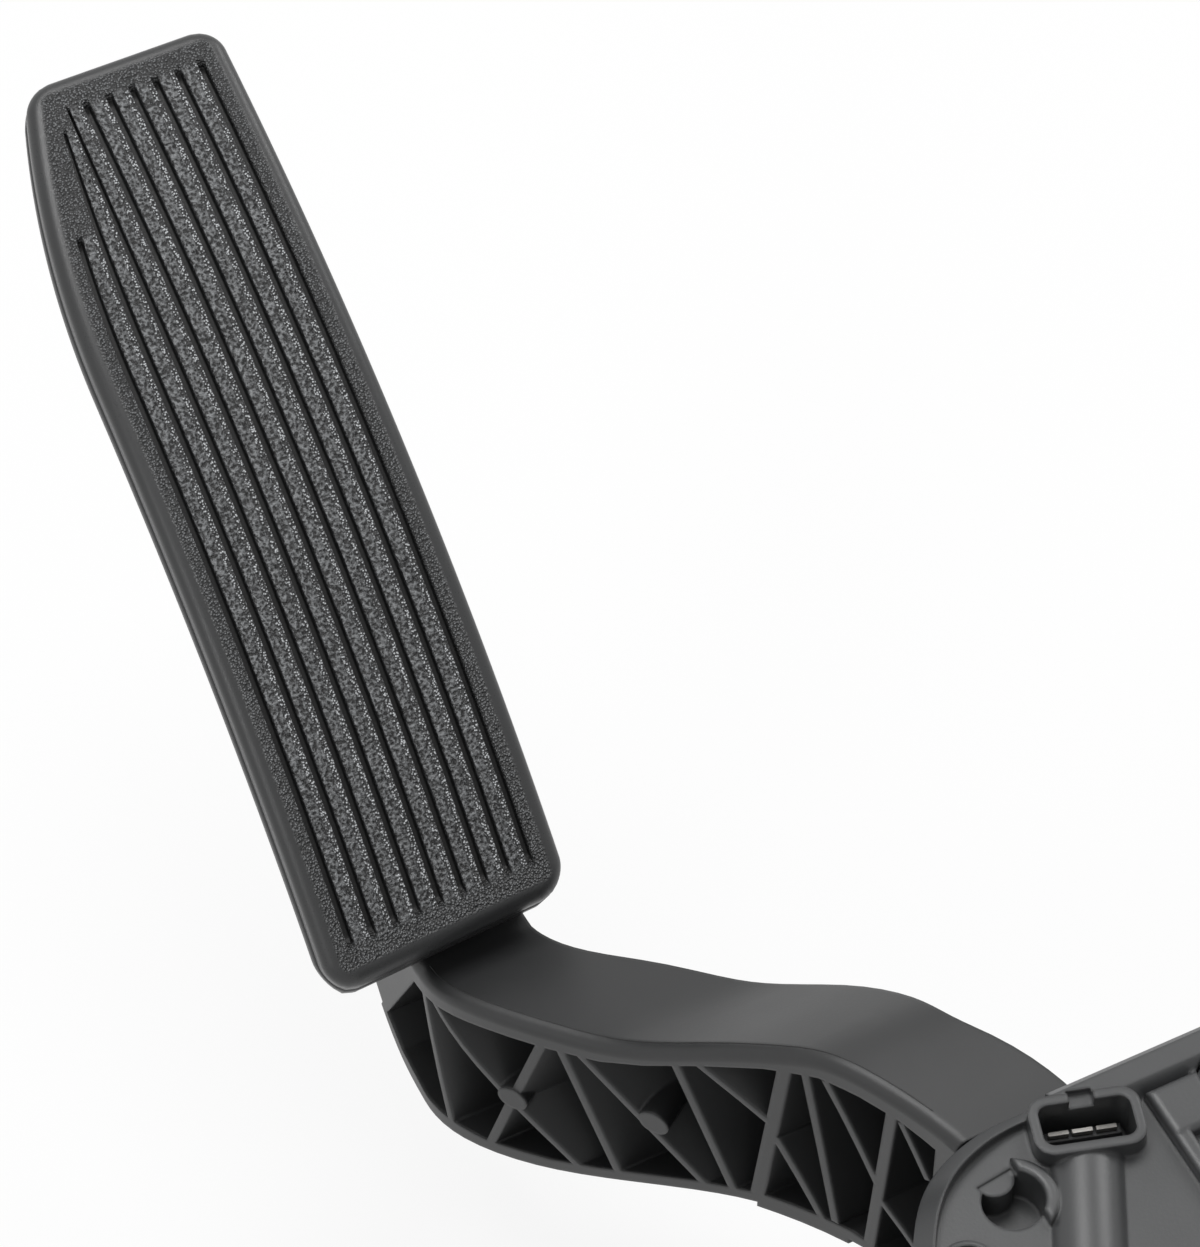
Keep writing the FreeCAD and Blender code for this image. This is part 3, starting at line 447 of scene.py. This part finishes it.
@dataclass
class TreadPad:
    """Pad cover drawn as one skin: tread face, rolled edge, wall with parting groove, lip.

    Lengths are millimetres in the pad's own terms: q runs along the face from the arm end,
    c across it on the straight pad, depth below the face.
    """

    start_y: float = 114.85
    start_z: float = -4.05
    pivot_z: float = 82.0
    slope: float = 47.63
    radius: float = 293.0
    length: float = 160.9
    far: float = -34.0
    width: float = 44.6
    thickness: float = 8.0
    skin_depth: float = 4.0
    plate_depth: float = 6.85
    wall: float = 2.0
    lip: float = 4.0
    flare: float = 3.2
    slant: float = 0.05
    taper_start: float = 106.7
    taper_in: float = 10.0
    bend_from: float = -63.0
    corner: float = 5.0
    edge: float = 2.4
    channels: int = 9
    pitch: float = 4.2
    channel_half: float = 0.72
    channel_depth: float = 2.0
    floor_depth: float = 0.4
    ridge: float = 1.05
    ramp: float = 0.16
    wall_share: float = 0.3
    end_rise: float = 2.0
    channel_from: float = 5.8
    channel_to: float = 155.0
    short: tuple[float, float] = (132.6, 151.2)
    rows: int = 330
    crowding: float = 0.4
    parting: float = 4.4
    parting_deep: float = 0.22
    strip_out: float = 0.1
    grain_fade: float = 0.8

    @property
    def step(self) -> float:
        """Distance from a channel's centre to the ridge beyond its floor."""
        return self.pitch - self.channel_half - self.ridge

    @property
    def middle(self) -> float:
        """Middle of the straight pad across."""
        return self.far - self.width / 2

    def near_at(self, s: np.ndarray) -> np.ndarray:
        """Near edge: straight, then drawn in by a parabola from the taper's start."""
        over = np.maximum(s - self.taper_start, 0.0) / (self.length - self.taper_start)
        return self.far - self.width + self.taper_in * over * over

    def place(self, x: np.ndarray, q: np.ndarray, depth: np.ndarray) -> np.ndarray:
        """Carry (x, q, depth) along the arc: y and z follow a circle of the pad's radius."""
        s = q + self.slant * (x - self.middle) * (1 - q / self.length)
        first = math.radians(self.slope)
        turn = first - s / self.radius
        reach = self.radius - depth
        centre_y = self.start_y + math.sin(first) * self.radius
        centre_z = self.pivot_z + self.start_z - math.cos(first) * self.radius
        y = centre_y - np.sin(turn) * reach
        z = centre_z + np.cos(turn) * reach
        return np.stack([x, y, z], axis=-1) * MM

    def lanes(self) -> np.ndarray:
        """Channel centres across the straight pad, from the near side."""
        return self.middle + (np.arange(self.channels) - (self.channels - 1) / 2) * self.pitch

    def columns(self) -> np.ndarray:
        """Columns of the face: close together at each channel's walls and each ridge's step."""
        half = self.channel_half
        wall = np.array([-1.0, -0.82, -0.7, -0.3, 0.3, 0.7, 0.82, 1.0]) * half
        floor = np.linspace(half, self.step, 9)[1:-1]
        ridge = self.step + np.array([0.0, self.ramp, 0.32, 0.6, 0.88])
        one = np.concatenate([wall, floor, ridge])
        inner = (self.lanes()[:, None] + one[None, :]).ravel()
        inner = inner[: inner.size - (floor.size + ridge.size)]
        near = np.linspace(self.far - self.width + self.edge, inner[0], 14)[:-1]
        far = np.linspace(inner[-1], self.far - self.edge, 14)[1:]
        return np.concatenate([near, inner, far])

    def stations(self) -> np.ndarray:
        """Stations along the face, closer together at both ends."""
        t = np.linspace(0, 1, self.rows)
        return t - self.crowding * np.sin(2 * math.pi * t) / (2 * math.pi)

    def tread(self, c: np.ndarray, q: np.ndarray) -> tuple[np.ndarray, ...]:
        """Depth and shares of the tread.

        Each pitch has a smooth steep-walled channel, a wide floor a little below the face and a
        narrow ridge; the ends of both rise on a quarter sine.

        Args:
            c: across the straight pad.
            q: along the face.

        Returns:
            Depth in millimetres, channel share, floor share and crest share.
        """
        lanes = self.lanes()
        number = np.floor((c - lanes[0] + self.channel_half * 1.001) / self.pitch).astype(int)
        lane = np.clip(number, 0, self.channels - 1)
        offset = c - lanes[lane]
        inside = (number >= 0) & (number < self.channels)
        end = np.full(self.channels, self.channel_to)
        end[: len(self.short)] = self.short
        run = np.minimum(q - self.channel_from, end[lane] - q)
        rise = np.sin(np.clip(run / self.end_rise, 0.0, 1.0) * math.pi / 2)
        slope = self.channel_half * self.wall_share
        sunk = np.clip((self.channel_half - np.abs(offset)) / slope, 0.0, 1.0)
        channel = np.where(inside, sunk, 0.0) * rise
        between = inside & (number < self.channels - 1)
        wide = np.clip((self.step + self.ramp - offset) / self.ramp, 0.0, 1.0) * (offset > 0)
        floor = np.where(between, wide, 0.0) * rise
        crest = np.where(between & (offset > self.step), 1.0, 0.0) * rise * (1 - floor)
        depth = np.maximum(channel * self.channel_depth, floor * self.floor_depth)
        return depth, channel, floor * (1 - channel), crest

    def rounded(self, x: np.ndarray, q: np.ndarray, near: np.ndarray) -> np.ndarray:
        """Draw the columns in at both ends so the four corners follow quarter circles."""
        radius = self.corner - self.edge
        gap = np.minimum(q - self.edge, self.length - self.edge - q)
        short = np.clip(1.0 - gap / radius, 0.0, 1.0)
        pull = radius * (1.0 - np.sqrt(np.maximum(1.0 - short * short, 0.0)))
        low, high = near + self.edge, self.far - self.edge
        centre, half = (low + high) / 2, (high - low) / 2
        return centre + (x - centre) * (half - pull) / half

    def face(self) -> tuple[np.ndarray, np.ndarray, np.ndarray]:
        """Grid of the face: columns c, x after bend and corners, and q."""
        c, v = np.meshgrid(self.columns(), self.stations(), indexing="xy")
        q = self.edge + v * (self.length - 2 * self.edge)
        near = self.near_at(q)
        low = self.far - self.width + self.edge
        slack = np.clip((self.bend_from - c) / (self.bend_from - low), 0.0, 1.0)
        target = near + self.edge
        x = np.where(c > self.bend_from, c, self.bend_from + (target - self.bend_from) * slack)
        return c, self.rounded(x, q, near), q

    def section(self) -> tuple[np.ndarray, np.ndarray]:
        """Edge profile: quarter round, wall, parting groove, lower strip, lip and the pocket above it."""
        roll = np.linspace(0, math.pi / 2, 10)[1:]
        drop = self.edge * (1 - np.cos(roll))
        out = self.edge * np.sin(roll)
        under, lip, pocket = self.thickness, self.edge - self.lip, self.edge - self.wall
        groove_drop = self.parting + np.array([-0.15, 0.0, 0.25, 0.4])
        groove_out = self.edge + np.array([0.0, -self.parting_deep, -self.parting_deep, self.strip_out])
        strip_drop = under - np.array([0.5, 0.15, 0.0])
        strip_out = self.edge + np.array([self.strip_out, 0.0, -0.4])
        inner_drop = [under, self.plate_depth, self.plate_depth, self.skin_depth]
        inner_out = [lip, lip, pocket, pocket]
        drop = np.concatenate([drop, groove_drop, strip_drop, inner_drop])
        out = np.concatenate([out, groove_out, strip_out, inner_out])
        return drop, out

    @staticmethod
    def ceiling(ring: np.ndarray, rows: int, columns: int) -> tuple[np.ndarray, list[list[int]]]:
        """Close the pocket with one quad across for each pair of rows and a larger face at each end.

        Args:
            ring: point numbers of the last ring, in the loop's order.
            rows: rows of the face grid.
            columns: columns of the face grid.

        Returns:
            The quads and the two end faces.
        """
        left = np.concatenate([ring[:1], ring[:-rows:-1]])
        right = ring[columns - 1:columns - 1 + rows]
        quads = np.stack([left[1:-2], left[2:-1], right[2:-1], right[1:-2]], axis=-1)
        first = np.concatenate([ring[:columns], [right[1], left[1]]])[::-1]
        last = np.concatenate([ring[columns + rows - 2:ring.size - rows + 2], [left[-2], right[-2]]])[::-1]
        return quads, [first.tolist(), last.tolist()]

    def build(self) -> bpy.types.Object:
        """Return the pad's skin, face and edge welded into one mesh."""
        c, x, q = self.face()
        depth, channel, floor, crest = self.tread(c, q)
        rows, columns = c.shape
        index = np.arange(rows * columns).reshape(rows, columns)
        loop = np.concatenate([index[0, :-1], index[:-1, -1], index[-1, :0:-1], index[:0:-1, 0]])
        loop_x, loop_q = x.ravel()[loop], q.ravel()[loop]
        ahead_x = np.roll(loop_x, -1) - np.roll(loop_x, 1)
        ahead_q = np.roll(loop_q, -1) - np.roll(loop_q, 1)
        size = np.hypot(ahead_x, ahead_q)
        out_x, out_q = ahead_q / size, -ahead_x / size
        drop, out = self.section()
        edge_x = loop_x[None, :] + out[:, None] * out_x[None, :]
        end_share = np.clip(-out_q, 0.0, 1.0) ** 2
        lean = self.flare * end_share[None, :] * (drop / self.thickness)[:, None]
        edge_q = loop_q[None, :] + out[:, None] * out_q[None, :] - lean
        edge_depth = np.repeat(drop[:, None], loop.size, axis=1)
        points = np.concatenate([self.place(x, q, depth).reshape(-1, 3),
                                 self.place(edge_x, edge_q, edge_depth).reshape(-1, 3)])
        added = rows * columns + np.arange(drop.size * loop.size).reshape(drop.size, -1)
        rings = np.concatenate([loop[None, :], added])
        ahead = np.roll(rings, -1, axis=1)
        wall = np.stack([rings[:-1], rings[1:], ahead[1:], ahead[:-1]], axis=-1).reshape(-1, 4)
        top = np.stack([index[:-1, :-1], index[:-1, 1:], index[1:, 1:], index[1:, :-1]], axis=-1)
        under, ends = self.ceiling(rings[-1], rows, columns)
        piece = quad_mesh("pad_tread", points, np.concatenate([top.reshape(-1, 4), wall, under]), ends)
        across = np.minimum(x - self.near_at(q), self.far - x)
        border = np.minimum(across, np.minimum(q, self.length - q))
        grained = np.clip((border - self.edge) / self.grain_fade, 0.0, 1.0)
        for name, share in (("channel", channel), ("floor", floor), ("crest", crest), ("grained", grained)):
            self.paint(piece, name, share)
        return piece

    @staticmethod
    def paint(piece: bpy.types.Object, name: str, share: np.ndarray) -> None:
        """Store one value per point of the face and 0 at the edge's points."""
        values = np.zeros(len(piece.data.vertices), dtype=np.float32)
        values[:share.size] = share.ravel()
        piece.data.attributes.new(name, "FLOAT", "POINT").data.foreach_set("value", values)

    def dress(self) -> None:
        """Build the pad and stand it in for the cover."""
        piece = self.build()
        piece.data.materials.append(TreadFinish().build())
        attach(piece, Body.PEDAL.value)
        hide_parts("pad_cover")
        LOG.info("built %s with %d faces", piece.name, len(piece.data.polygons))


@dataclass
class ArmTrim:
    """Mould parting bead along the arm's top face, just inside its rounded near edge."""

    first_y: float = 33.5
    last_y: float = 118.0
    steps: int = 150
    inset: float = 2.3
    below: float = 3.4
    radius: float = 0.17
    sunk: float = 0.07
    tip: float = 0.03
    sides: int = 8
    from_x: float = -140.0
    from_z: float = 160.0
    node: str = "pedal_arm"

    def hit(self, start: tuple[float, float, float], aim: tuple[float, float, float]) -> np.ndarray:
        """First point of the arm met by a ray, in millimetres."""
        arm = frame["nodes"][self.node]
        found, point, _, _ = arm.ray_cast(Vector(start) * MM, Vector(aim))
        if not found:
            raise RuntimeError(f"no arm surface at {start}")
        return np.array(point) / MM

    def path(self) -> np.ndarray:
        """Points on the top face, one inset in from the near side at each station."""
        stations = np.linspace(self.first_y, self.last_y, self.steps)
        tops = np.array([self.hit((self.inner_x(y), y, self.from_z), (0, 0, -1)) for y in stations])
        levels = tops[:, 2] - self.below
        near = np.array([self.hit((self.from_x, y, z), (1, 0, 0)) for y, z in zip(stations, levels)])
        run = np.gradient(near[:, :2], axis=0)
        run /= np.linalg.norm(run, axis=1, keepdims=True)
        inner = near[:, :2] + self.inset * np.stack([run[:, 1], -run[:, 0]], axis=1)
        return np.array([self.hit((x, y, self.from_z), (0, 0, -1)) for x, y in inner])

    @staticmethod
    def inner_x(y: float) -> float:
        """An x that lies on the arm's top face at y."""
        return float(np.interp(y, [30.0, 60.0, 90.0, 120.0], [-1.0, -14.0, -36.0, -52.0]))

    def build(self) -> bpy.types.Object:
        """Return the bead: a thin tube carried along the path, most of it sunk in the face."""
        points = self.path() - np.array([0.0, 0.0, self.sunk])
        across = np.cross(np.gradient(points, axis=0), np.array([0.0, 0.0, 1.0]))
        across /= np.linalg.norm(across, axis=1, keepdims=True)
        size = np.full(len(points), self.radius)
        size[[0, -1]] = self.tip
        return tube_mesh("arm_parting_bead", points, across, size, self.sides)

    def dress(self) -> None:
        """Build the bead and let it ride with the pedal."""
        piece = self.build()
        piece.data.materials.append(MouldedFinish("parting_bead", grey(0.003), grey(0.006), 0.5).build())
        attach(piece, Body.PEDAL.value)
        LOG.info("built %s with %d faces", piece.name, len(piece.data.polygons))


@dataclass
class ReturnSpring:
    """Return spring: a wire coil carried along a helix between the ends of its CAD part."""

    node: str
    radius: float
    wire: float
    turns: int = 5
    centre_y: float = -30.0
    seat_z: float = 101.0
    per_turn: int = 40
    sides: int = 14
    keep: float = 0.56

    def build(self) -> bpy.types.Object:
        """Return the coil: a wire circle carried along a helix."""
        low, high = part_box(self.node)
        foot, head = low[2] / MM + self.wire / 2, high[2] / MM - self.wire / 2
        share = np.linspace(0, 1, self.turns * self.per_turn + 1)
        angle = 2 * math.pi * self.turns * share
        radial = np.stack([np.cos(angle), np.sin(angle), np.zeros_like(angle)], axis=-1)
        path = self.radius * radial
        path[:, 1] += self.centre_y
        path[:, 2] = foot + (head - foot) * share
        size = np.full(share.size, self.wire / 2)
        return tube_mesh(f"{self.node}_coil", path, radial, size, self.sides)

    def dress(self) -> None:
        """Build the coil, stand it in for the rigid one and give it a mesh of its own."""
        piece = self.build()
        piece.data.materials.append(SPRING_WIRE.build())
        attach(piece, Body.HOUSING.value)
        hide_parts(self.node)
        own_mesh(piece)
        LOG.info("built %s with %d faces", piece.name, len(piece.data.polygons))


# Light and camera


@dataclass
class Studio:
    """Pale floor, white surround and soft lamps."""

    floor_size: float = 6.0
    floor_drop: float = 0.0005
    floor_grey: float = 0.8
    floor_white: float = 0.85
    fill: float = 0.45
    lamps: tuple[tuple[tuple[float, float, float], float, float], ...] = (
        ((-0.1, 0.55, 1.5), 0.8, 14.0),
        ((-1.2, -0.5, 0.9), 0.6, 4.0),
        ((1.1, 0.5, 1.0), 0.6, 6.0),
    )
    aim: tuple[float, float, float] = (-0.02, 0.08, 0.09)

    def build(self) -> None:
        """Make the floor, the surround and the lamps."""
        self._floor()
        self._surround()
        for index, (place, size, watts) in enumerate(self.lamps):
            self._lamp(f"soft_lamp_{index}", place, size, watts)

    def _floor(self) -> None:
        """White floor that keeps shadows and looks plain white to the camera away from them."""
        half, drop = self.floor_size / 2, -self.floor_drop
        square = [(-half, -half, drop), (half, -half, drop), (half, half, drop), (-half, half, drop)]
        floor = quad_mesh("floor", np.array(square), np.arange(4).reshape(1, 4))
        tree = NodeTree.material("pale_floor")
        matte = tree.add("ShaderNodeBsdfDiffuse", {}, {"Color": grey(self.floor_grey, 0.0)})
        white = tree.add("ShaderNodeEmission", {}, {"Color": grey(1.0, 0.0), "Strength": 1.0})
        factor = self._seen(tree) * self.floor_white
        mixed = tree.add("ShaderNodeMixShader", {}, {0: factor, 1: matte, 2: white})
        floor.data.materials.append(tree.finish(mixed))

    @staticmethod
    def _seen(tree: NodeTree) -> Wire:
        """1 for camera, glossy and transmission rays."""
        path = tree.add("ShaderNodeLightPath", {}, {}, "Is Camera Ray")
        glossy = Wire(tree, path.socket.node.outputs["Is Glossy Ray"])
        through = Wire(tree, path.socket.node.outputs["Is Transmission Ray"])
        return (path + glossy + through).clamp(0.0, 1.0)

    def _surround(self) -> None:
        """World that is white to the camera and a soft grey fill to the object."""
        world = bpy.data.worlds.new("white_surround")
        bpy.context.scene.world = world
        tree = NodeTree(world, "ShaderNodeOutputWorld")
        white = grey(1.0, 0.0)
        lit = tree.add("ShaderNodeBackground", {}, {"Color": white, "Strength": self.fill})
        seen = tree.add("ShaderNodeBackground", {}, {"Color": white, "Strength": 1.0})
        tree.finish(tree.add("ShaderNodeMixShader", {}, {0: self._seen(tree), 1: lit, 2: seen}))

    def _lamp(self, name: str, place: tuple[float, float, float], size: float, watts: float) -> None:
        """Add one square area lamp aimed at the object."""
        data = bpy.data.lights.new(name, "AREA")
        data.size = size
        data.energy = watts
        lamp = bpy.data.objects.new(name, data)
        lamp.location = place
        lamp.rotation_euler = (Vector(self.aim) - Vector(place)).to_track_quat("-Z", "Y").to_euler()
        bpy.context.scene.collection.objects.link(lamp)


@dataclass
class Viewpoint:
    """Camera at the photograph's viewing angle."""

    azimuth: float = -26.76
    elevation: float = 51.90
    distance: float = 0.8551
    pivot: tuple[float, float, float] = (-0.020, 0.090, 0.100)
    slide: tuple[float, float] = (-0.01936, 0.04359)
    focal_pixels: float = 5270.0
    long_side: float = 1247.0
    sensor: float = 36.0

    def build(self) -> None:
        """Place the camera and make it the scene's."""
        a, e = math.radians(self.azimuth), math.radians(self.elevation)
        right = Vector((math.cos(a), math.sin(a), 0.0))
        back = Vector((math.sin(a) * math.cos(e), -math.cos(a) * math.cos(e), math.sin(e)))
        up = back.cross(right)
        data = bpy.data.cameras.new("photo_camera")
        data.sensor_width = self.sensor
        data.lens = self.focal_pixels / self.long_side * self.sensor
        data.clip_start = 0.01
        camera = bpy.data.objects.new("photo_camera", data)
        place = Vector(self.pivot) + right * self.slide[0] + up * self.slide[1] + back * self.distance
        turn = Matrix((right, up, back)).transposed().to_4x4()
        camera.matrix_world = Matrix.Translation(place) @ turn
        bpy.context.scene.collection.objects.link(camera)
        bpy.context.scene.camera = camera


def main() -> None:
    """Build the classes in order and report each piece."""
    logging.basicConfig(level=logging.INFO, format="%(name)s: %(message)s")
    bpy.context.scene.view_settings.view_transform = "Standard"
    FinishBook().dress()
    TreadPad().dress()
    ArmTrim().dress()
    ReturnSpring("outer_spring", radius=7.6, wire=2.0).dress()
    ReturnSpring("inner_spring", radius=4.2, wire=1.4).dress()
    Studio().build()
    Viewpoint().build()


if __name__ == "__main__":
    main()
